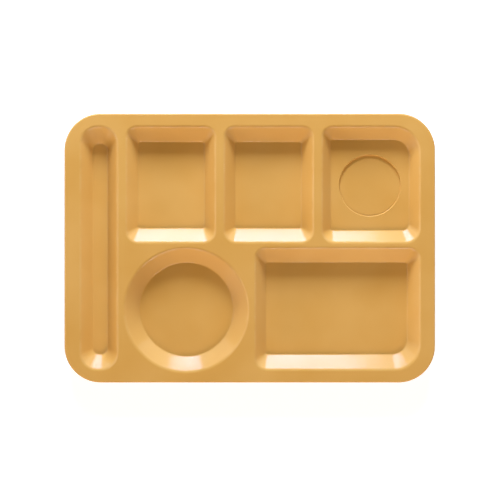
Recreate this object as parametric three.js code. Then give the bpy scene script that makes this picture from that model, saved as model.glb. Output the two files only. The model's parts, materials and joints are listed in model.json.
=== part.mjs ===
// Six-compartment cafeteria tray: a thin glossy moulding with wells for cutlery, two side dishes, a cup,
// a round bowl and a main dish. Millimetres, +Z up, +X along the tray's length, +Y towards its back edge.
// The origin is on the table, under the middle of the tray.
// The real tray is one moulding. Here it is divided along the flat tops between its wells, so that each
// compartment is a solid of its own, and the solids meet face to face with no gap.

import * as THREE from "three";
import { mergeVertices } from "three/addons/utils/BufferGeometryUtils.js";

// Floors of the wells, in plan
const UTENSIL_FLOOR_WIDTH = 11.8;
const SIDE_FLOOR_WIDTH = 61.7;
const BOWL_FLOOR_DIAMETER = 89.4;

// Cup seat: a shallow round recess, level with the other wells' floors, and the higher floor round it
const CUP_SEAT_RADIUS = 28.75;
const CUP_SEAT_DEPTH = 1.6;
const CUP_STEP = 1.5;
const CUP_SIDE_MARGIN = 4.9;
const CUP_BACK_MARGIN = 11.8;
const CUP_FRONT_MARGIN = 8.6;

// Plan widths of the sloping walls, from the deck to the floor
const SIDE_RUN = 13.3;
const END_RUN = 18;
const BOWL_RUN = 16.5;

// Flat deck between the wells, and between the wells and the tray's outer edge. The straight wells stop
// short of the bowl's front by FRONT_INSET.
const COLUMN_LAND = 5.75;
const BOWL_LAND = 3.5;
const ROW_LAND = 2;
const LEFT_BORDER = 13.8;
const RIGHT_BORDER = 13.2;
const END_BORDER = 8.6;
const FRONT_INSET = 2;

// Section of the moulding
const WALL = 3;
const WELL_DEPTH = 12;
const MOUTH_UNDER_RADIUS = 2;
const FLOOR_RADIUS = 4;
const LIP_UNDER_RADIUS = 1;
const LIP_SKIRT = 1.5;

// Corners in plan. A well in a corner of the tray is rounder there, to follow the tray's own corner.
const TRAY_CORNER = 35;
const CORNER_BORDER = 11;
const MOUTH_CORNER = 11.5;
const FLOOR_CORNER = 4;
const OUTER_FLOOR_CORNER = 12;

// Straight pieces that stand for each round corner and bend
const CORNER_STEPS = 6;
const BOWL_STEPS = 10;
const BEND_STEPS = 3;
const LIP_STEPS = 4;

// Points closer than this are one point
const WELD_DISTANCE = 1e-4;

// Sizes that follow
const mouthRadius = MOUTH_UNDER_RADIUS + WALL;
const lipRadius = LIP_UNDER_RADIUS + WALL;
const lipEdgeRadius = WALL / 2;
const deckTop = WELL_DEPTH + WALL;
const cupRimRadius = CUP_SEAT_RADIUS + CUP_STEP;
const cupFloor = WALL + CUP_SEAT_DEPTH;
const outerMouthCorner = TRAY_CORNER - CORNER_BORDER;
const deckCorner = TRAY_CORNER - lipRadius;

const utensilWidth = UTENSIL_FLOOR_WIDTH + 2 * SIDE_RUN;
const sideWidth = SIDE_FLOOR_WIDTH + 2 * SIDE_RUN;
const cupWidth = 2 * (cupRimRadius + CUP_SIDE_MARGIN + SIDE_RUN);
const backRowDepth = 2 * (cupRimRadius + END_RUN) + CUP_BACK_MARGIN + CUP_FRONT_MARGIN;
const bowlDiameter = BOWL_FLOOR_DIAMETER + 2 * BOWL_RUN;
const trayLength = LEFT_BORDER + utensilWidth + 3 * COLUMN_LAND + 2 * sideWidth + cupWidth + RIGHT_BORDER;
const trayDepth = 2 * END_BORDER + backRowDepth + ROW_LAND + bowlDiameter;

// Rectangles in plan, and the points round them
const rectangle = (left, right, front, back) => ({ left, right, front, back });

const inset = ({ left, right, front, back }, byX, byY) =>
  rectangle(left + byX, right - byX, front + byY, back - byY);

// Corner radii come in the order front left, front right, back right, back left
const everyCorner = (radius) => [radius, radius, radius, radius];

// Points round a rectangle with round or square corners, counter-clockwise from its left side
function outline({ left, right, front, back }, radii, steps = CORNER_STEPS) {
  const [frontLeft, frontRight, backRight, backLeft] = radii;
  const corners = [
    [left + frontLeft, front + frontLeft, frontLeft],
    [right - frontRight, front + frontRight, frontRight],
    [right - backRight, back - backRight, backRight],
    [left + backLeft, back - backLeft, backLeft],
  ];
  return corners.flatMap(([x, y, radius], quarter) => {
    if (radius === 0) return [new THREE.Vector2(x, y)];
    const start = Math.PI + (quarter * Math.PI) / 2;
    return new THREE.ArcCurve(x, y, radius, start, start + Math.PI / 2).getPoints(steps);
  });
}

function circle({ x, y }, radius) {
  const square = rectangle(x - radius, x + radius, y - radius, y + radius);
  return outline(square, everyCorner(radius), BOWL_STEPS);
}

const atHeight = (points, z) => points.map(({ x, y }) => new THREE.Vector3(x, y, z));

// Mouths of the wells in plan, set out from the tray's left and back edges
const tray = rectangle(-trayLength / 2, trayLength / 2, -trayDepth / 2, trayDepth / 2);
const backRowBack = tray.back - END_BORDER;
const backRowFront = backRowBack - backRowDepth;
const frontRowBack = backRowFront - ROW_LAND;
const bowlFront = frontRowBack - bowlDiameter;
const straightFront = bowlFront + FRONT_INSET;

const utensilLeft = tray.left + LEFT_BORDER;
const utensilRight = utensilLeft + utensilWidth;
const leftSideLeft = utensilRight + COLUMN_LAND;
const middleSideLeft = leftSideLeft + sideWidth + COLUMN_LAND;
const cupLeft = middleSideLeft + sideWidth + COLUMN_LAND;
const cupRight = cupLeft + cupWidth;
const bowlLeft = utensilRight + BOWL_LAND;
const bowlRight = bowlLeft + bowlDiameter;
const entreeLeft = bowlRight + BOWL_LAND;

const mouths = {
  utensil: rectangle(utensilLeft, utensilRight, straightFront, backRowBack),
  leftSide: rectangle(leftSideLeft, leftSideLeft + sideWidth, backRowFront, backRowBack),
  middleSide: rectangle(middleSideLeft, middleSideLeft + sideWidth, backRowFront, backRowBack),
  cup: rectangle(cupLeft, cupRight, backRowFront, backRowBack),
  bowl: rectangle(bowlLeft, bowlRight, bowlFront, frontRowBack),
  entree: rectangle(entreeLeft, cupRight, straightFront, frontRowBack),
};

// Each compartment's share of the deck, divided half way between neighbouring mouths
const deck = inset(tray, lipRadius, lipRadius);
const utensilSeam = utensilRight + BOWL_LAND / 2;
const rowSeam = backRowFront - ROW_LAND / 2;
const sideSeam = middleSideLeft - COLUMN_LAND / 2;
const cupSeam = cupLeft - COLUMN_LAND / 2;
const bowlSeam = bowlRight + BOWL_LAND / 2;

const cells = {
  utensil: rectangle(deck.left, utensilSeam, deck.front, deck.back),
  leftSide: rectangle(utensilSeam, sideSeam, rowSeam, deck.back),
  middleSide: rectangle(sideSeam, cupSeam, rowSeam, deck.back),
  cup: rectangle(cupSeam, deck.right, rowSeam, deck.back),
  bowl: rectangle(utensilSeam, bowlSeam, deck.front, rowSeam),
  entree: rectangle(bowlSeam, deck.right, deck.front, rowSeam),
};

const cupCentre = {
  x: (mouths.cup.left + mouths.cup.right) / 2,
  y: mouths.cup.front + END_RUN + CUP_FRONT_MARGIN + cupRimRadius,
};

// A closed surface gathered from flat plates and from bands between rings of points
class Skin {
  corners = [];

  triangle(a, b, c) {
    this.corners.push(a, b, c);
  }

  // The band faces up where the second ring lies inside the first, and inwards where it lies below it
  band(first, second) {
    first.forEach((a, i) => {
      const j = (i + 1) % first.length;
      this.triangle(a, first[j], second[j]);
      this.triangle(a, second[j], second[i]);
    });
  }

  plate(contour, holes, z, facesUp) {
    const points = atHeight([contour, ...holes].flat(), z);
    for (const face of THREE.ShapeUtils.triangulateShape(contour, holes)) {
      const [a, b, c] = face.map((index) => points[index]);
      const turnsLeft = (b.x - a.x) * (c.y - a.y) > (b.y - a.y) * (c.x - a.x);
      if (turnsLeft === facesUp) this.triangle(a, b, c);
      else this.triangle(a, c, b);
    }
  }

  // Joins the corners that coincide, and drops triangles that have no area
  geometry() {
    const merged = mergeVertices(new THREE.BufferGeometry().setFromPoints(this.corners), WELD_DISTANCE);
    const index = merged.getIndex().array;
    const kept = [];
    for (let i = 0; i < index.length; i += 3) {
      const [a, b, c] = index.slice(i, i + 3);
      if (a !== b && b !== c && c !== a) kept.push(a, b, c);
    }
    merged.setIndex(kept);
    merged.computeVertexNormals();
    return merged;
  }
}

// Section of a sloping wall from the deck (share 0) to the floor (share 1): a round mouth, a straight
// slope and a round floor edge, each tangent to the next
function wallSection(run, depth) {
  const radii = mouthRadius + FLOOR_RADIUS;
  const fall = depth - radii;
  const steepest = Math.atan2(fall, run) + Math.asin(radii / Math.hypot(run, fall));
  const angles = Array.from({ length: BEND_STEPS + 1 }, (_, i) => (steepest * i) / BEND_STEPS);
  const mouth = angles.map((angle) => ({
    angle,
    share: (mouthRadius * Math.sin(angle)) / run,
    drop: mouthRadius * (1 - Math.cos(angle)),
  }));
  const floor = angles.toReversed().map((angle) => ({
    angle,
    share: 1 - (FLOOR_RADIUS * Math.sin(angle)) / run,
    drop: depth - FLOOR_RADIUS * (1 - Math.cos(angle)),
  }));
  return [...mouth, ...floor];
}

// A well with its share of the deck. Both faces of its wall follow one section, WALL apart.
function compartment(cell, cellCorners, mouth, well) {
  const { runX, runY, mouthCorners, floorCorners, steps = CORNER_STEPS } = well;
  const { floorHeight = WALL, floorHole } = well;
  const section = wallSection((runX + runY) / 2, deckTop - floorHeight);

  const ringAt = ({ share, drop, angle }, thickness) => {
    const grown = thickness * Math.sin(angle);
    const box = inset(mouth, runX * share - grown, runY * share - grown);
    const roundest = Math.min(box.right - box.left, box.back - box.front) / 2;
    const radii = mouthCorners.map((mouthCorner, i) => {
      const corner = THREE.MathUtils.lerp(mouthCorner, floorCorners[i], share) + grown;
      return Math.min(corner, roundest);
    });
    return atHeight(outline(box, radii, steps), deckTop - drop - thickness * Math.cos(angle));
  };
  const inner = section.map((point) => ringAt(point, 0));
  const outer = section.map((point) => ringAt(point, WALL));
  const cellOutline = outline(cell, cellCorners);
  const holes = floorHole ? [floorHole] : [];

  const skin = new Skin();
  for (let i = 1; i < section.length; i++) {
    skin.band(inner[i - 1], inner[i]);
    skin.band(outer[i], outer[i - 1]);
  }
  skin.plate(cellOutline, [inner[0]], deckTop, true);
  skin.plate(cellOutline, [outer[0]], deckTop - WALL, false);
  skin.plate(inner.at(-1), holes, floorHeight, true);
  skin.plate(outer.at(-1), holes, floorHeight - WALL, false);
  skin.band(atHeight(cellOutline, deckTop - WALL), atHeight(cellOutline, deckTop));
  for (const hole of holes) {
    skin.band(atHeight(hole, floorHeight), atHeight(hole, floorHeight - WALL));
  }
  return skin.geometry();
}

// The disc of floor inside the cup compartment, with the shallow recess that a cup stands in
function cupSeat(centre) {
  const rim = circle(centre, cupRimRadius);
  const seat = circle(centre, CUP_SEAT_RADIUS);
  const skin = new Skin();
  skin.band(atHeight(rim, 0), atHeight(rim, cupFloor));
  skin.band(atHeight(rim, cupFloor), atHeight(seat, WALL));
  skin.plate(seat, [], WALL, true);
  skin.plate(rim, [], 0, false);
  return skin.geometry();
}

// The rolled lip: the deck's edge bends down to a short skirt with a round lower edge. Each point of its
// section is how far it lies inside the tray's outline, and how far below the deck.
function rimLip() {
  const bend = Array.from({ length: LIP_STEPS + 1 }, (_, i) => (Math.PI / 2) * (i / LIP_STEPS));
  const skirtEnd = lipRadius + LIP_SKIRT;
  const section = [
    ...bend.map((angle) => [lipRadius * (1 - Math.sin(angle)), lipRadius * (1 - Math.cos(angle))]),
    ...bend.map((angle) => [
      lipEdgeRadius * (1 - Math.cos(2 * angle)),
      skirtEnd + lipEdgeRadius * Math.sin(2 * angle),
    ]),
    ...bend.toReversed().map((angle) => [
      lipRadius - LIP_UNDER_RADIUS * Math.sin(angle),
      lipRadius - LIP_UNDER_RADIUS * Math.cos(angle),
    ]),
  ];
  const rings = section.map(([inwards, drop]) => {
    const round = outline(inset(tray, inwards, inwards), everyCorner(TRAY_CORNER - inwards));
    return atHeight(round, deckTop - drop);
  });
  const skin = new Skin();
  rings.forEach((ring, i) => skin.band(rings[(i + 1) % rings.length], ring));
  return skin.geometry();
}

// Glossy moulded plastic, a warm muted yellow
const plastic = () => new THREE.MeshStandardMaterial({ color: 0xdca558, roughness: 0.2, metalness: 0 });

function piece(name, geometry) {
  const mesh = new THREE.Mesh(geometry, plastic());
  mesh.name = name;
  return mesh;
}

const straightWell = {
  runX: SIDE_RUN,
  runY: END_RUN,
  mouthCorners: everyCorner(MOUTH_CORNER),
  floorCorners: everyCorner(FLOOR_CORNER),
};
const utensil = piece(
  "utensil_compartment",
  compartment(cells.utensil, [deckCorner, 0, 0, deckCorner], mouths.utensil, {
    ...straightWell,
    mouthCorners: everyCorner(outerMouthCorner),
  }),
);

const squareCell = everyCorner(0);
const backRow = new THREE.Group();
backRow.add(
  piece(
    "left_side_compartment",
    compartment(cells.leftSide, squareCell, mouths.leftSide, straightWell),
  ),
  piece(
    "middle_side_compartment",
    compartment(cells.middleSide, squareCell, mouths.middleSide, straightWell),
  ),
  piece(
    "cup_compartment",
    compartment(cells.cup, [0, 0, deckCorner, 0], mouths.cup, {
      ...straightWell,
      mouthCorners: [MOUTH_CORNER, MOUTH_CORNER, outerMouthCorner, MOUTH_CORNER],
      floorCorners: [FLOOR_CORNER, FLOOR_CORNER, OUTER_FLOOR_CORNER, FLOOR_CORNER],
      floorHeight: cupFloor,
      floorHole: circle(cupCentre, cupRimRadius),
    }),
  ),
  piece("cup_seat", cupSeat(cupCentre)),
);

const frontRow = new THREE.Group();
frontRow.add(
  piece(
    "bowl_compartment",
    compartment(cells.bowl, squareCell, mouths.bowl, {
      runX: BOWL_RUN,
      runY: BOWL_RUN,
      mouthCorners: everyCorner(bowlDiameter / 2),
      floorCorners: everyCorner(BOWL_FLOOR_DIAMETER / 2),
      steps: BOWL_STEPS,
    }),
  ),
  piece(
    "entree_compartment",
    compartment(cells.entree, [0, deckCorner, 0, 0], mouths.entree, {
      ...straightWell,
      mouthCorners: [MOUTH_CORNER, outerMouthCorner, MOUTH_CORNER, MOUTH_CORNER],
      floorCorners: [FLOOR_CORNER, OUTER_FLOOR_CORNER, FLOOR_CORNER, FLOOR_CORNER],
    }),
  ),
);

const compartmentTray = new THREE.Group();
compartmentTray.add(piece("rim_lip", rimLip()), utensil, backRow, frontRow);

export default compartmentTray;
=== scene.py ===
# %% [markdown]
# # A moulded compartment tray
#
# A cafeteria tray is one thin plastic moulding: a flat deck with six wells pressed into it and a lip turned
# down all round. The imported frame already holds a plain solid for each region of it. This lesson gives each
# solid a finer skin in the same place, and one glossy finish for all of them, so that the seams between the
# skins vanish on the flat deck.

# %% Load the frame
import json
import math

import bmesh
import bpy
from mathutils import Matrix, Vector


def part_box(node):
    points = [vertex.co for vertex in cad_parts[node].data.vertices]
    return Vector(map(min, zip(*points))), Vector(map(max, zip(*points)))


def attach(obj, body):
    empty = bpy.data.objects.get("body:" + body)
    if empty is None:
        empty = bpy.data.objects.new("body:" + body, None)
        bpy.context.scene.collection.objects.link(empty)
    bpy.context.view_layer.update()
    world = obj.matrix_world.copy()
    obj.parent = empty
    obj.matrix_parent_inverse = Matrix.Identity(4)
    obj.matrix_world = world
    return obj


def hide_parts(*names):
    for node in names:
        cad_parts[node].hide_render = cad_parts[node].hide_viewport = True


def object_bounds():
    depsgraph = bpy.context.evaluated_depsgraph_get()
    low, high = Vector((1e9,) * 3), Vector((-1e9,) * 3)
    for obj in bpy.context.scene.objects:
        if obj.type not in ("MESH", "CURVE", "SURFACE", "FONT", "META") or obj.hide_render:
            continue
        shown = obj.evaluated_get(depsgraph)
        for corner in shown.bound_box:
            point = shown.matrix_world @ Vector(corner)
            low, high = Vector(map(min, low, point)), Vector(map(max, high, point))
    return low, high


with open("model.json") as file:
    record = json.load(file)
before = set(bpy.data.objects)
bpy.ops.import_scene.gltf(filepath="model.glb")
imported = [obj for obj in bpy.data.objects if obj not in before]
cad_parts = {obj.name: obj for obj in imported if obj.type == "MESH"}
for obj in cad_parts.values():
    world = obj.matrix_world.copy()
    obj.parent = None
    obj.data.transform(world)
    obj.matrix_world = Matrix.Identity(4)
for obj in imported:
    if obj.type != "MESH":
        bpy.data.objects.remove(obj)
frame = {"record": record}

MM = 0.001
cad_low, cad_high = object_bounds()
deck_top = cad_high.z
print("tray", [round(side / MM, 2) for side in cad_high - cad_low], "mm")

# %% [markdown]
# ## Camera
#
# The photograph looks straight down on the tray. A camera that isn't turned looks down -Z with +Y at the
# top of the picture, so it only needs a place. Its height shows in the picture as the shift between the
# deck and the deeper floors, and the lens follows from how many millimetres of deck the picture spans.

# %% Camera above the tray
PICTURE_PIXELS = 500
PIXELS_PER_MM = 1.042
TRAY_CENTRE_PIXEL = Vector((249.74, 248.1))
CAMERA_HEIGHT = 1050 * MM
SENSOR_MM = 36

picture_width = PICTURE_PIXELS / PIXELS_PER_MM * MM
picture_centre = Vector((PICTURE_PIXELS / 2, PICTURE_PIXELS / 2))
off_centre = (picture_centre - TRAY_CENTRE_PIXEL) / PIXELS_PER_MM * MM

camera_data = bpy.data.cameras.new("overhead_camera")
camera_data.sensor_width = SENSOR_MM
camera_data.lens = SENSOR_MM * CAMERA_HEIGHT / picture_width
camera = bpy.data.objects.new("overhead_camera", camera_data)
camera.location = (off_centre.x, -off_centre.y, deck_top + CAMERA_HEIGHT)
bpy.context.scene.collection.objects.link(camera)
bpy.context.scene.camera = camera
bpy.context.scene.view_settings.view_transform = "Standard"
print("lens", round(camera_data.lens, 1), "mm")

# %% [markdown]
# ## Colours and nodes
#
# Colours are written as people read them off a screen, as sRGB hex values. Blender's shaders work with
# light, which is linear, so one function converts them. A second small function adds a node, sets its
# properties and fills its inputs, either with a constant or with a link from another node's output.

# %% Helpers for materials
def linear(hex_colour):
    channels = [int(hex_colour[i : i + 2], 16) / 255 for i in (1, 3, 5)]
    light = [c / 12.92 if c <= 0.04045 else ((c + 0.055) / 1.055) ** 2.4 for c in channels]
    return (*light, 1.0)


def add_node(tree, kind, inputs=None, **settings):
    node = tree.nodes.new(kind)
    for name, value in settings.items():
        setattr(node, name, value)
    for name, value in (inputs or {}).items():
        if isinstance(value, bpy.types.NodeSocket):
            tree.links.new(value, node.inputs[name])
        else:
            node.inputs[name].default_value = value
    return node


def new_material(name):
    material = bpy.data.materials.new(name)
    material.use_nodes = True
    material.node_tree.nodes.clear()
    return material


# %% [markdown]
# ## Tray plastic
#
# The tray is ABS, injected hot into a polished steel mould. The eye gets an opaque body colour under a
# clear, almost mirror-like skin, so bright panels in the room show as sharp white strips on the sloping
# walls. A flat colour would look like a drawing. The pigment drifts a little where the melt flowed, so the
# colour mixes two close yellows in broad clouds. Object coordinates carry every pattern across the seams,
# because all the skins share one origin.

# %% Body colour with flow clouds
FLOW_DARK = "#d9a354"
FLOW_LIGHT = "#dfab5e"
FLOW_CLOUD = 70 * MM
# Most values of a noise lie between these two.
NOISE_LOW, NOISE_HIGH = 0.35, 0.65
# A Mix node has number, vector and colour sockets of the same names, so its colour sockets go by number.
MIX_FACTOR, MIX_FIRST, MIX_SECOND, MIX_COLOUR = 0, 6, 7, 2

tray_plastic = new_material("moulded_gloss_abs")
tree = tray_plastic.node_tree
place = add_node(tree, "ShaderNodeTexCoord")
clouds = add_node(
    tree, "ShaderNodeTexNoise", {"Vector": place.outputs["Object"], "Scale": 1 / FLOW_CLOUD}
)
cloud_share = add_node(
    tree,
    "ShaderNodeMapRange",
    {"Value": clouds.outputs["Fac"], "From Min": NOISE_LOW, "From Max": NOISE_HIGH},
)
body_colour = add_node(
    tree,
    "ShaderNodeMix",
    {
        MIX_FACTOR: cloud_share.outputs["Result"],
        MIX_FIRST: linear(FLOW_DARK),
        MIX_SECOND: linear(FLOW_LIGHT),
    },
    data_type="RGBA",
)
print("body colour from", FLOW_DARK, "to", FLOW_LIGHT, "in clouds of", round(FLOW_CLOUD / MM), "mm")

# %% [markdown]
# ## Where the tray wears
#
# Trays are stacked and slid, so the first thing to dull is the turn of each edge just under the deck. Two
# things find those places without painting them: the height, which has to be near the deck, and the way the
# surface faces, which has to be off level. A noise breaks the band up. The same facing also tells the
# underside, where the mould is left matt and pebbled for grip.

# %% Rubbed edges
WEAR_STARTS_BELOW_DECK = 2 * MM
WEAR_FULL_BELOW_DECK = 0.3 * MM
LEVEL_FACING = 0.995
TURNED_FACING = 0.93
RUBBED_PATCH = 14 * MM
RUBBED_LOW, RUBBED_HIGH = 0.35, 0.7

position = add_node(tree, "ShaderNodeSeparateXYZ", {"Vector": place.outputs["Object"]})
facing = add_node(tree, "ShaderNodeSeparateXYZ", {"Vector": place.outputs["Normal"]})
near_deck = add_node(
    tree,
    "ShaderNodeMapRange",
    {
        "Value": position.outputs["Z"],
        "From Min": deck_top - WEAR_STARTS_BELOW_DECK,
        "From Max": deck_top - WEAR_FULL_BELOW_DECK,
    },
)
on_the_turn = add_node(
    tree,
    "ShaderNodeMapRange",
    {"Value": facing.outputs["Z"], "From Min": LEVEL_FACING, "From Max": TURNED_FACING},
)
patches = add_node(
    tree, "ShaderNodeTexNoise", {"Vector": place.outputs["Object"], "Scale": 1 / RUBBED_PATCH}
)
rubbed = add_node(
    tree,
    "ShaderNodeMapRange",
    {"Value": patches.outputs["Fac"], "From Min": RUBBED_LOW, "From Max": RUBBED_HIGH},
)
edge = add_node(
    tree,
    "ShaderNodeMath",
    {0: near_deck.outputs["Result"], 1: on_the_turn.outputs["Result"]},
    operation="MULTIPLY",
)
edge_wear = add_node(
    tree, "ShaderNodeMath", {0: edge.outputs[0], 1: rubbed.outputs["Result"]}, operation="MULTIPLY"
)
print("edges wear in the first", round(WEAR_STARTS_BELOW_DECK / MM, 1), "mm below the deck")

# %% Underside
UNDERSIDE_STARTS, UNDERSIDE_FULL = -0.2, -0.4

underside = add_node(
    tree,
    "ShaderNodeMapRange",
    {"Value": facing.outputs["Z"], "From Min": UNDERSIDE_STARTS, "From Max": UNDERSIDE_FULL},
)
print("underside where a surface faces down by more than", -UNDERSIDE_STARTS)

# %% Worn colour
WORN_YELLOW = "#e8c387"
WORN_SHARE = 0.2

worn_share = add_node(
    tree, "ShaderNodeMath", {0: edge_wear.outputs[0], 1: WORN_SHARE}, operation="MULTIPLY"
)
colour = add_node(
    tree,
    "ShaderNodeMix",
    {
        MIX_FACTOR: worn_share.outputs[0],
        MIX_FIRST: body_colour.outputs[MIX_COLOUR],
        MIX_SECOND: linear(WORN_YELLOW),
    },
    data_type="RGBA",
)
print("worn edges take up to", WORN_SHARE, "of", WORN_YELLOW)

# %% [markdown]
# ## Gloss
#
# Fresh ABS from a polished mould has a roughness of about 0.1 to 0.2. Hands leave broad smudges that lift
# it a little, and cutlery leaves hairlines. A hairline is a noise stretched along one direction and cut to
# its peaks. Real ones are 0.05 to 0.1 mm wide, too fine for this picture, so they are drawn 0.6 mm wide and
# faint. The rubbed edges and the underside are rougher still.

# %% Smudges
SMUDGE = 30 * MM
CLEAN_ROUGHNESS = 0.125
SMUDGED_ROUGHNESS = 0.185

smudges = add_node(tree, "ShaderNodeTexNoise", {"Vector": place.outputs["Object"], "Scale": 1 / SMUDGE})
roughness = add_node(
    tree,
    "ShaderNodeMapRange",
    {
        "Value": smudges.outputs["Fac"],
        "From Min": NOISE_LOW,
        "From Max": NOISE_HIGH,
        "To Min": CLEAN_ROUGHNESS,
        "To Max": SMUDGED_ROUGHNESS,
    },
).outputs["Result"]
print("roughness", CLEAN_ROUGHNESS, "where clean and", SMUDGED_ROUGHNESS, "where smudged")

# %% Hairlines
HAIRLINE_WIDTH = 0.6 * MM
HAIRLINE_LENGTH = 45 * MM
HAIRLINE_ANGLES = (18, -52, 81)
HAIRLINE_STARTS, HAIRLINE_FULL = 0.66, 0.72
HAIRLINE_ROUGHNESS = 0.03

for angle in HAIRLINE_ANGLES:
    along = add_node(
        tree,
        "ShaderNodeMapping",
        {
            "Vector": place.outputs["Object"],
            "Rotation": (0, 0, math.radians(angle)),
            "Scale": (1 / HAIRLINE_LENGTH, 1 / HAIRLINE_WIDTH, 1 / HAIRLINE_LENGTH),
        },
    )
    streaks = add_node(
        tree, "ShaderNodeTexNoise", {"Vector": along.outputs["Vector"], "Scale": 1.0, "Detail": 0.0}
    )
    hairline = add_node(
        tree,
        "ShaderNodeMapRange",
        {
            "Value": streaks.outputs["Fac"],
            "From Min": HAIRLINE_STARTS,
            "From Max": HAIRLINE_FULL,
            "To Max": HAIRLINE_ROUGHNESS,
        },
    )
    roughness = add_node(
        tree, "ShaderNodeMath", {0: roughness, 1: hairline.outputs["Result"]}, operation="ADD"
    ).outputs[0]
print("hairlines in", len(HAIRLINE_ANGLES), "directions")

# %% Rougher edges and underside
WORN_ROUGHNESS = 0.08
UNDERSIDE_ROUGHNESS = 0.35

rougher_places = (
    (edge_wear.outputs[0], WORN_ROUGHNESS),
    (underside.outputs["Result"], UNDERSIDE_ROUGHNESS),
)
for mask, rise in rougher_places:
    roughness = add_node(
        tree, "ShaderNodeMath", {0: mask, 1: rise, 2: roughness}, operation="MULTIPLY_ADD"
    ).outputs[0]
    print("roughness rises by up to", rise)

# %% [markdown]
# ## Relief
#
# Moulded plastic is never quite flat. Its skin has a slow ripple that people call orange peel, a few
# thousandths of a millimetre high, which makes the edges of the mirrored strips waver. Real ripples are
# about 1 mm long, and here they are drawn 3.5 mm long so that the picture can hold them. The pebbles
# underneath are 1 mm on a real mould and are drawn 2.5 mm. Both heights are in metres, so one Bump node
# takes their sum. The shader then needs only the plastic's own index of refraction for its mirror.

# %% Orange peel and pebbles
RIPPLE = 3.5 * MM
RIPPLE_HEIGHT = 0.008 * MM
PEBBLE = 2.5 * MM
PEBBLE_HEIGHT = 0.12 * MM

ripples = add_node(tree, "ShaderNodeTexNoise", {"Vector": place.outputs["Object"], "Scale": 1 / RIPPLE})
pebbles = add_node(tree, "ShaderNodeTexNoise", {"Vector": place.outputs["Object"], "Scale": 1 / PEBBLE})
ripple_relief = add_node(
    tree, "ShaderNodeMath", {0: ripples.outputs["Fac"], 1: RIPPLE_HEIGHT}, operation="MULTIPLY"
)
pebble_relief = add_node(
    tree, "ShaderNodeMath", {0: pebbles.outputs["Fac"], 1: PEBBLE_HEIGHT}, operation="MULTIPLY"
)
relief = add_node(
    tree,
    "ShaderNodeMath",
    {0: pebble_relief.outputs[0], 1: underside.outputs["Result"], 2: ripple_relief.outputs[0]},
    operation="MULTIPLY_ADD",
)
bump = add_node(tree, "ShaderNodeBump", {"Height": relief.outputs[0], "Distance": 1.0, "Strength": 1.0})
print("ripples of", round(RIPPLE / MM, 1), "mm above, pebbles of", round(PEBBLE / MM, 1), "mm below")

# %% Plastic shader
ABS_IOR = 1.54

shader = add_node(
    tree,
    "ShaderNodeBsdfPrincipled",
    {
        "Base Color": colour.outputs[MIX_COLOUR],
        "Roughness": roughness,
        "IOR": ABS_IOR,
        "Normal": bump.outputs["Normal"],
    },
)
add_node(tree, "ShaderNodeOutputMaterial", {"Surface": shader.outputs["BSDF"]})
print(tray_plastic.name, len(tree.nodes), "nodes")

# %% [markdown]
# ## Outlines that a skin grows from
#
# Seen from above, every edge of this tray is a rectangle with round corners or a circle. Blender could
# trace them as curves, but a face is handier: its corners can be rounded with a vertex bevel, it can be
# inset for a parallel edge, and deleting it leaves a loop of edges to bridge from.

# %% Faces with round corners
def rounded_face(bm, box, corners, height, segments):
    """Adds a flat rectangle. Its corner radii come front left, front right, back right, back left."""
    left, right, front, back = box
    before = set(bm.faces)
    points = ((left, front), (right, front), (right, back), (left, back))
    verts = [bm.verts.new((x, y, height)) for x, y in points]
    bm.faces.new(verts)
    for vert, radius in zip(verts, corners):
        if radius > 0:
            bmesh.ops.bevel(
                bm,
                geom=[vert],
                offset=radius,
                offset_type="OFFSET",
                affect="VERTICES",
                segments=segments,
                profile=0.5,
                material=-1,
            )
    return next(face for face in bm.faces if face not in before)


def round_face(bm, centre, radius, height, segments):
    """Adds a flat disc."""
    before = set(bm.faces)
    middle = Matrix.Translation((centre.x, centre.y, height))
    bmesh.ops.create_circle(bm, cap_ends=True, segments=segments, radius=radius, matrix=middle)
    return next(face for face in bm.faces if face not in before)


# %% Rings, openings and bends
def open_face(bm, face):
    """Deletes a face and returns the edges that were round it."""
    edges = list(face.edges)
    bmesh.ops.delete(bm, geom=[face], context="FACES_ONLY")
    return edges


def inset_ring(bm, face, width):
    """Insets a face, which shrinks, and returns the edges round the flat ring that is left outside it."""
    made = bmesh.ops.inset_region(
        bm, faces=[face], thickness=width, use_boundary=True, use_even_offset=True
    )
    return [edge for ring_face in made["faces"] for edge in ring_face.edges if edge.is_boundary]


def bend(bm, edges, offset, segments):
    """Rounds a sharp edge. The offset is how far the bend reaches from the edge on either side."""
    bmesh.ops.bevel(
        bm,
        geom=edges,
        offset=offset,
        offset_type="OFFSET",
        affect="EDGES",
        segments=segments,
        profile=0.5,
        material=-1,
    )


# %% [markdown]
# ## From a mesh to a piece of the tray
#
# A finished skin is smooth on its bends and sharp on its cut edges. A smooth vertex normal is the mean of
# the faces round it, so a large flat wall beside a bend would shade as if it bulged. The Weighted Normal
# modifier lets the largest face decide, and the flats stay flat up to their bends.

# %% Finish a piece
SHARP_ANGLE = math.radians(35)
LARGEST_FACE_DECIDES = 100


def finish_piece(bm, name, node):
    """Makes the mesh an object that stands for a node of the frame."""
    bm.normal_update()
    for face in bm.faces:
        face.smooth = True
    for edge in bm.edges:
        edge.smooth = edge.calc_face_angle(0) < SHARP_ANGLE
    open_edges = sum(not edge.is_manifold for edge in bm.edges)
    volume = bm.calc_volume(signed=True) / MM**3
    mesh = bpy.data.meshes.new(name)
    bm.to_mesh(mesh)
    bm.free()
    mesh.materials.append(tray_plastic)
    piece = bpy.data.objects.new(name, mesh)
    bpy.context.scene.collection.objects.link(piece)
    flats = piece.modifiers.new("flats_stay_flat", "WEIGHTED_NORMAL")
    flats.weight = LARGEST_FACE_DECIDES
    flats.keep_sharp = True
    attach(piece, "root")
    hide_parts(node)
    print(name, len(mesh.polygons), "faces,", open_edges, "open edges,", round(volume), "mm3")
    return piece


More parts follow.
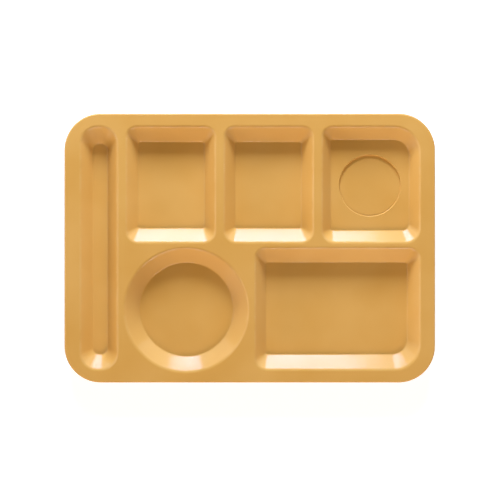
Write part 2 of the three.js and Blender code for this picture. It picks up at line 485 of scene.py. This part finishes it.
# %% [markdown]
# ## How a well is pressed
#
# Each well takes its share of the deck with it, up to the middle of the lands between the wells. The mesh
# starts as two flat outlines, the mouth at deck height and the crease of the floor below it. Bridging the
# two loops draws the sloping wall, two bevels round the edges, and a solidify gives the whole sheet its
# thickness downwards. Pushing a box into a plate with a boolean would leave slivers where these bevels need
# clean loops. The record's mounts say how high the floors lie. The tray stands on the wells' undersides, so
# the height of a floor is also the thickness of the sheet.

# %% The sheet and its bends
mounts = {mount["name"]: mount for mount in frame["record"]["mounts"]}
WALL = mounts["bowl_floor"]["pos_m"][2]
MOUTH_BEND = 1.6 * MM
FLOOR_BEND = 0.8 * MM
FLAT_MARGIN = 0.4 * MM
BEND_SEGMENTS = 8
TRAY_CORNER_SEGMENTS = 24

print("sheet", round(WALL / MM, 2), "mm thick, wells", round((deck_top - WALL) / MM, 2), "mm deep")


# %% Press a well
def cell_of(node):
    """The left, right, front and back of a node, seen from above."""
    low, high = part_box(node)
    return [low.x, high.x, low.y, high.y]


def well(name, node, cell_corners, rim, floor, hole=None):
    """rim and floor are functions that add the face of the mouth's and of the floor's flat outline."""
    bm = bmesh.new()
    deck_face = rounded_face(bm, cell_of(node), cell_corners, deck_top, TRAY_CORNER_SEGMENTS)
    cell_edges = open_face(bm, deck_face)
    rim_face = rim(bm)
    rim_edges = inset_ring(bm, rim_face, MOUTH_BEND + FLAT_MARGIN)
    mouth_edges = open_face(bm, rim_face)
    floor_face = floor(bm)
    floor_edges = inset_ring(bm, floor_face, FLOOR_BEND + FLAT_MARGIN)
    bmesh.ops.bridge_loops(bm, edges=mouth_edges + floor_edges)
    bmesh.ops.triangle_fill(bm, use_beauty=True, edges=cell_edges + rim_edges)
    if hole:
        hole_edges = open_face(bm, hole(bm))
        flat_edges = open_face(bm, floor_face)
        bmesh.ops.triangle_fill(bm, use_beauty=True, edges=hole_edges + flat_edges)
    bend(bm, mouth_edges, MOUTH_BEND, BEND_SEGMENTS)
    bend(bm, floor_edges, FLOOR_BEND, BEND_SEGMENTS)
    bmesh.ops.recalc_face_normals(bm, faces=bm.faces[:])
    if max(bm.faces, key=lambda face: face.calc_area()).normal.z < 0:
        bmesh.ops.reverse_faces(bm, faces=bm.faces[:])
    bmesh.ops.solidify(bm, geom=bm.faces[:], thickness=WALL)
    return finish_piece(bm, name, node)


# %% [markdown]
# ## Wells with straight sides
#
# Five of the six wells are rectangles with round corners. Their walls slope so that the trays nest: the
# side walls run in 12 mm over the depth, and the front and back walls a little more. The corner of the mouth
# is rounder than the corner of the floor, so each corner is a piece of a cone.

# %% Straight wells
SIDE_RUN = 12 * MM
END_RUN = 15.4 * MM
LEAST_STRAIGHT = 1 * MM
CORNER_SEGMENTS = 12


def trimmed(box, left, right, front, back):
    return [box[0] + left, box[1] - right, box[2] + front, box[3] - back]


def inset(box, by_x, by_y):
    return trimmed(box, by_x, by_x, by_y, by_y)


def straight_well(
    name, node, cell_corners, trim, back_run, mouth_corners, floor_corners, hole=None, rise=0
):
    """trim is the deck's width between the cell and the mouth at the left, right, front and back."""
    mouth = trimmed(cell_of(node), *trim)
    depth_share = 1 - rise / (deck_top - WALL)
    crease = trimmed(mouth, *(run * depth_share for run in (SIDE_RUN, SIDE_RUN, END_RUN, back_run)))
    rim_box = inset(mouth, -FLAT_MARGIN, -FLAT_MARGIN)
    roundest = min(mouth[1] - mouth[0], mouth[3] - mouth[2]) / 2 - LEAST_STRAIGHT

    def rim(bm):
        corners = [min(radius, roundest) + FLAT_MARGIN for radius in mouth_corners]
        return rounded_face(bm, rim_box, corners, deck_top, CORNER_SEGMENTS)

    def floor(bm):
        return rounded_face(bm, crease, floor_corners, WALL + rise, CORNER_SEGMENTS)

    return well(name, node, cell_corners, rim, floor, hole)


# %% [markdown]
# ## Cutlery well
#
# The long well at the left holds knives and forks. Its mouth is so narrow that its round corners almost
# meet, and its cell follows the tray's own round corners, one lip width further in.

# %% Cutlery well
LIP_INSET = 4 * MM
TRAY_CORNER = 35 * MM
CORNER_BORDER = 8.5 * MM
LEFT_BORDER = 13.8 * MM
END_BORDER = 10.8 * MM
BOWL_LAND = 3.5 * MM
CUTLERY_BACK_RUN = 17.3 * MM
CUTLERY_FLOOR_CORNER = 6 * MM

deck_corner = TRAY_CORNER - LIP_INSET
outer_mouth_corner = TRAY_CORNER - CORNER_BORDER
at_end = END_BORDER - LIP_INSET

straight_well(
    "utensil_well",
    "utensil_compartment",
    [deck_corner, 0, 0, deck_corner],
    (LEFT_BORDER - LIP_INSET, BOWL_LAND / 2, at_end, at_end),
    CUTLERY_BACK_RUN,
    [outer_mouth_corner] * 4,
    [CUTLERY_FLOOR_CORNER] * 4,
)

# %% [markdown]
# ## Two side-dish wells
#
# These two are nearly square and alike, apart from the land at the left, where the first one meets the
# cutlery well. A loop makes both.

# %% Side-dish wells
COLUMN_LAND = 5.75 * MM
ROW_LAND = 2 * MM
FRONT_CORNER = 13 * MM
BACK_CORNER = 11.5 * MM
FLOOR_CORNER = 2 * MM
square = [0, 0, 0, 0]

for name, node, left_land in (
    ("left_side_well", "left_side_compartment", COLUMN_LAND - BOWL_LAND / 2),
    ("middle_side_well", "middle_side_compartment", COLUMN_LAND / 2),
):
    straight_well(
        name,
        node,
        square,
        (left_land, COLUMN_LAND / 2, ROW_LAND / 2, at_end),
        END_RUN,
        [FRONT_CORNER, FRONT_CORNER, BACK_CORNER, BACK_CORNER],
        [FLOOR_CORNER] * 4,
    )

# %% [markdown]
# ## Cup well
#
# The well at the back right shares the tray's outer corner, so that corner of it is rounder than the rest.
# Its floor lies a little higher than the others, by the depth of the cup seat that is sunk into it, and has
# a round hole in the mesh, which the seat fills.

# %% Cup well
RIGHT_BORDER = 13.2 * MM
CUP_MOUTH_CORNER = 15 * MM
CUP_FLOOR_CORNER = 7 * MM
OUTER_FLOOR_CORNER = 15 * MM
SEAT_SEGMENTS = 96

seat_low, seat_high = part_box("cup_seat")
seat_height = mounts["cup_seat"]["pos_m"][2]
cup_floor = seat_high.z
seat_centre = (seat_low + seat_high) / 2
seat_radius = (seat_high.x - seat_low.x) / 2


def seat_hole(bm):
    return round_face(bm, seat_centre, seat_radius, cup_floor, SEAT_SEGMENTS)


straight_well(
    "cup_well",
    "cup_compartment",
    [0, 0, deck_corner, 0],
    (COLUMN_LAND / 2, RIGHT_BORDER - LIP_INSET, ROW_LAND / 2, at_end),
    END_RUN,
    [FRONT_CORNER, CUP_MOUTH_CORNER, outer_mouth_corner, BACK_CORNER],
    [FLOOR_CORNER, CUP_FLOOR_CORNER, OUTER_FLOOR_CORNER, FLOOR_CORNER],
    seat_hole,
    cup_floor - WALL,
)
print("cup seat", round(seat_height / MM, 2), "mm high, floor round it", round(cup_floor / MM, 2), "mm")

# %% [markdown]
# ## Cup seat
#
# A shallow round step keeps a cup or a carton from sliding. It is steep and less than 2 mm deep, so it
# shows as a dark arc where it shades the seat and a bright arc where it faces the light. It is a closed
# disc: a ring at the top, a bridge down to the seat, and a flat base.

# %% Cup seat
SEAT_STEP = 0.4 * MM
SEAT_BEND = 0.2 * MM
SEAT_MARGIN = 0.1 * MM
SEAT_BEND_SEGMENTS = 4

bm = bmesh.new()
top = round_face(bm, seat_centre, seat_radius, cup_floor, SEAT_SEGMENTS)
outer_edges = inset_ring(bm, top, SEAT_BEND + SEAT_MARGIN)
step_edges = open_face(bm, top)
step_foot_radius = seat_radius - SEAT_BEND - SEAT_MARGIN - SEAT_STEP
seat = round_face(bm, seat_centre, step_foot_radius, seat_height, SEAT_SEGMENTS)
seat_edges = inset_ring(bm, seat, SEAT_BEND + SEAT_MARGIN)
bmesh.ops.bridge_loops(bm, edges=step_edges + seat_edges)
under = round_face(bm, seat_centre, seat_radius, 0, SEAT_SEGMENTS)
bmesh.ops.bridge_loops(bm, edges=outer_edges + list(under.edges))
bend(bm, step_edges + seat_edges, SEAT_BEND, SEAT_BEND_SEGMENTS)
bmesh.ops.recalc_face_normals(bm, faces=bm.faces[:])
finish_piece(bm, "cup_seat_disc", "cup_seat")

# %% [markdown]
# ## Entree well
#
# The large well at the front right holds the main dish. It is a straight well again, and its front right
# corner follows the tray's own corner.

# %% Entree well
straight_well(
    "entree_well",
    "entree_compartment",
    [0, deck_corner, 0, 0],
    (BOWL_LAND / 2, RIGHT_BORDER - LIP_INSET, at_end, ROW_LAND / 2),
    END_RUN,
    [FRONT_CORNER, outer_mouth_corner, BACK_CORNER, BACK_CORNER],
    [FLOOR_CORNER, OUTER_FLOOR_CORNER, FLOOR_CORNER, FLOOR_CORNER],
)

# %% [markdown]
# ## Bowl well
#
# The round well takes a soup bowl. Only its two outlines differ from the other wells: both are circles, and
# the bridge between them is a cone. Its mouth nearly touches the row behind it.

# %% Bowl well
BOWL_RUN = 15.7 * MM
BOWL_SEGMENTS = 128

bowl_left, bowl_right, bowl_front, bowl_back = cell_of("bowl_compartment")
bowl_radius = (bowl_right - bowl_left - BOWL_LAND) / 2
bowl_centre = Vector(((bowl_left + bowl_right) / 2, bowl_back - ROW_LAND / 2 - bowl_radius))


def bowl_rim(bm):
    return round_face(bm, bowl_centre, bowl_radius + FLAT_MARGIN, deck_top, BOWL_SEGMENTS)


def bowl_floor(bm):
    return round_face(bm, bowl_centre, bowl_radius - BOWL_RUN, WALL, BOWL_SEGMENTS)


well("bowl_well", "bowl_compartment", square, bowl_rim, bowl_floor)

# %% [markdown]
# ## Rolled lip
#
# The lip turns the deck's edge down to a short skirt, which stiffens the tray and gives fingers a hold. Its
# section is an L, so three flat rings are drawn first: the top, the lower edge of the skirt and the ledge
# under the deck. Bridges join them into a closed band, and bevels roll its outer edges. Normals are set
# before the bevels, because a bevel needs to know which side of an edge is outside.

# %% Three rings of the lip
lip_low, lip_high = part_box("rim_lip")
lip_box = cell_of("rim_lip")


def lip_face(bm, inwards, height):
    """Adds a face with the tray's outline, moved inwards."""
    corners = [TRAY_CORNER - inwards] * 4
    return rounded_face(bm, inset(lip_box, inwards, inwards), corners, height, TRAY_CORNER_SEGMENTS)


bm = bmesh.new()
rings = []
for inwards, height, width in (
    (0, lip_high.z, LIP_INSET),
    (0, lip_low.z, WALL),
    (WALL, lip_high.z - WALL, LIP_INSET - WALL),
):
    face = lip_face(bm, inwards, height)
    outer = inset_ring(bm, face, width)
    rings.append((outer, open_face(bm, face)))
print("lip", round((lip_high.z - lip_low.z) / MM, 2), "mm deep in", len(rings), "rings")

# %% Join the rings and roll the lip
LIP_BEND = 1.5 * MM
LIP_EDGE_BEND = 1.4 * MM
LIP_INNER_BEND = 0.8 * MM

(top_outer, top_inner), (bottom_outer, bottom_inner), (under_outer, under_inner) = rings
for first, second in ((top_outer, bottom_outer), (bottom_inner, under_outer), (under_inner, top_inner)):
    bmesh.ops.bridge_loops(bm, edges=first + second)
bmesh.ops.recalc_face_normals(bm, faces=bm.faces[:])
bend(bm, top_outer, LIP_BEND, BEND_SEGMENTS)
bend(bm, bottom_outer + bottom_inner, LIP_EDGE_BEND, BEND_SEGMENTS)
bend(bm, under_outer, LIP_INNER_BEND, BEND_SEGMENTS)
bmesh.ops.recalc_face_normals(bm, faces=bm.faces[:])
finish_piece(bm, "rolled_lip", "rim_lip")

# %% [markdown]
# ## Table and room
#
# The tray lies on a pale table in a bright room. A white table under soft lamps would still render grey, so
# it also glows where it is looked at or mirrored, and it keeps the tray's shadow because the glow is only a
# part of its brightness. The room is white where the camera looks at it. Mirrored in the tray it is white at
# the horizon and fades upwards, because a white ceiling would lay a milky veil over the glossy deck.

# %% Painted table top
TABLE_WHITE = "#e8eef6"
TABLE_GLOW = 0.58

table_material = new_material("pale_table")
tree = table_material.node_tree
path = add_node(tree, "ShaderNodeLightPath")
seen_or_mirrored = add_node(
    tree,
    "ShaderNodeMath",
    {0: path.outputs["Is Camera Ray"], 1: path.outputs["Is Glossy Ray"]},
    operation="MAXIMUM",
)
not_lighting = add_node(
    tree,
    "ShaderNodeMath",
    {0: seen_or_mirrored.outputs[0], 1: path.outputs["Is Transmission Ray"]},
    operation="MAXIMUM",
)
glow_strength = add_node(
    tree, "ShaderNodeMath", {0: not_lighting.outputs[0], 1: TABLE_GLOW}, operation="MULTIPLY"
)
diffuse = add_node(tree, "ShaderNodeBsdfDiffuse", {"Color": linear(TABLE_WHITE)})
glow = add_node(tree, "ShaderNodeEmission", {"Strength": glow_strength.outputs[0]})
both = add_node(tree, "ShaderNodeAddShader", {0: diffuse.outputs[0], 1: glow.outputs[0]})
add_node(tree, "ShaderNodeOutputMaterial", {"Surface": both.outputs[0]})
print(table_material.name, TABLE_WHITE, "with a glow of", TABLE_GLOW)

# %% Table
TABLE_HALF_SIDE = 2

bm = bmesh.new()
bmesh.ops.create_grid(bm, x_segments=1, y_segments=1, size=TABLE_HALF_SIDE)
table_mesh = bpy.data.meshes.new("table")
bm.to_mesh(table_mesh)
bm.free()
table_mesh.materials.append(table_material)
table = bpy.data.objects.new("table", table_mesh)
bpy.context.scene.collection.objects.link(table)
print("table", 2 * TABLE_HALF_SIDE, "m wide")

# %% Room
WHITE = "#ffffff"
FADE_UPWARDS = 4

world = bpy.data.worlds.new("studio")
bpy.context.scene.world = world
world.use_nodes = True
tree = world.node_tree
tree.nodes.clear()
view = add_node(tree, "ShaderNodeTexCoord")
direction = add_node(tree, "ShaderNodeSeparateXYZ", {"Vector": view.outputs["Generated"]})
towards_horizon = add_node(
    tree, "ShaderNodeMath", {0: 1.0, 1: direction.outputs["Z"]}, operation="SUBTRACT", use_clamp=True
)
faded = add_node(
    tree, "ShaderNodeMath", {0: towards_horizon.outputs[0], 1: FADE_UPWARDS}, operation="POWER"
)
path = add_node(tree, "ShaderNodeLightPath")
seen = add_node(
    tree,
    "ShaderNodeMath",
    {0: path.outputs["Is Camera Ray"], 1: path.outputs["Is Transmission Ray"]},
    operation="MAXIMUM",
)
strength = add_node(
    tree, "ShaderNodeMath", {0: seen.outputs[0], 1: faded.outputs[0]}, operation="MAXIMUM"
)
background = add_node(
    tree, "ShaderNodeBackground", {"Color": linear(WHITE), "Strength": strength.outputs[0]}
)
add_node(tree, "ShaderNodeOutputWorld", {"Surface": background.outputs[0]})
print(world.name, "is white at the horizon and fades with a power of", FADE_UPWARDS)

# %% [markdown]
# ## Lamps
#
# The body of the plastic only needs light, and its glossy skin needs something to mirror, so each lamp here
# does one of the two. The floods light the body: a cool one low behind the tray shades the floors, near
# enough to leave the front row a little darker, and three warm ones far off fill that shade. The panels are
# only mirrored. The softbox behind the tray shows as the pale strips on the front walls, which slope just
# enough to send it upwards, and the other panels draw the thin bright lines along the turned edges.

# %% A lamp that faces the tray
def studio_lamp(name, azimuth, elevation, distance, size, radiance, tint):
    """Adds a panel that faces the tray. Azimuth counts from +X round to +Y, in degrees."""
    round_z = math.radians(azimuth)
    up = math.radians(elevation)
    level = math.cos(up)
    towards = Vector((level * math.cos(round_z), level * math.sin(round_z), math.sin(up)))
    width, height = size
    data = bpy.data.lights.new(name, "AREA")
    data.shape = "RECTANGLE"
    data.size = width
    data.size_y = height
    data.energy = radiance * math.pi * width * height
    data.color = linear(tint)[:3]
    lamp = bpy.data.objects.new(name, data)
    lamp.location = towards * distance
    lamp.rotation_euler = (-towards).to_track_quat("-Z", "Y").to_euler()
    lamp.visible_camera = False
    bpy.context.scene.collection.objects.link(lamp)
    print(name, round(data.energy, 1), "W")
    return lamp


# %% Floods that light the body
COOL_DAYLIGHT = "#e1eeff"
WARM_ROOM = "#fff0d8"
BACK_FLOOD_DISTANCE = 1.5
BACK_FLOOD_SIZE = (0.7, 0.35)
FILL_DISTANCE = 3
FILL_SIZE = (1.4, 0.7)

back_flood = studio_lamp(
    "back_flood",
    azimuth=91,
    elevation=18,
    distance=BACK_FLOOD_DISTANCE,
    size=BACK_FLOOD_SIZE,
    radiance=61,
    tint=COOL_DAYLIGHT,
)
floods = [back_flood]
for name, azimuth, elevation, radiance in (
    ("low_left_flood", 210, 9, 10),
    ("front_left_flood", 240, 34, 9.7),
    ("front_right_flood", 300, 34, 13.8),
):
    fill = studio_lamp(name, azimuth, elevation, FILL_DISTANCE, FILL_SIZE, radiance, WARM_ROOM)
    floods.append(fill)
for flood in floods:
    flood.visible_glossy = False

# %% Panels that are only mirrored
BLUE_SKY = "#bccbff"
SOFTBOX_DISTANCE = 0.985
SOFTBOX_SIZE = (0.64, 0.28)
PANEL_DISTANCE = 1.3
WING_SIZE = (0.9, 0.46)
LEFT_PANEL_SIZE = (1.2, 0.3)
FRONT_PANEL_SIZE = (1.2, 0.13)

softbox = studio_lamp(
    "back_softbox",
    azimuth=95.7,
    elevation=10.6,
    distance=SOFTBOX_DISTANCE,
    size=SOFTBOX_SIZE,
    radiance=11.4,
    tint=BLUE_SKY,
)
panels = [softbox]
for name, azimuth, elevation, size, radiance in (
    ("back_left_wing", 132, 14, WING_SIZE, 0.9),
    ("back_right_wing", 56, 14, WING_SIZE, 1.0),
    ("left_panel", 180, 55, LEFT_PANEL_SIZE, 2.5),
    ("front_panel", 276, 36.5, FRONT_PANEL_SIZE, 9),
):
    sheen = studio_lamp(name, azimuth, elevation, PANEL_DISTANCE, size, radiance, WHITE)
    panels.append(sheen)
for panel in panels:
    panel.visible_diffuse = False
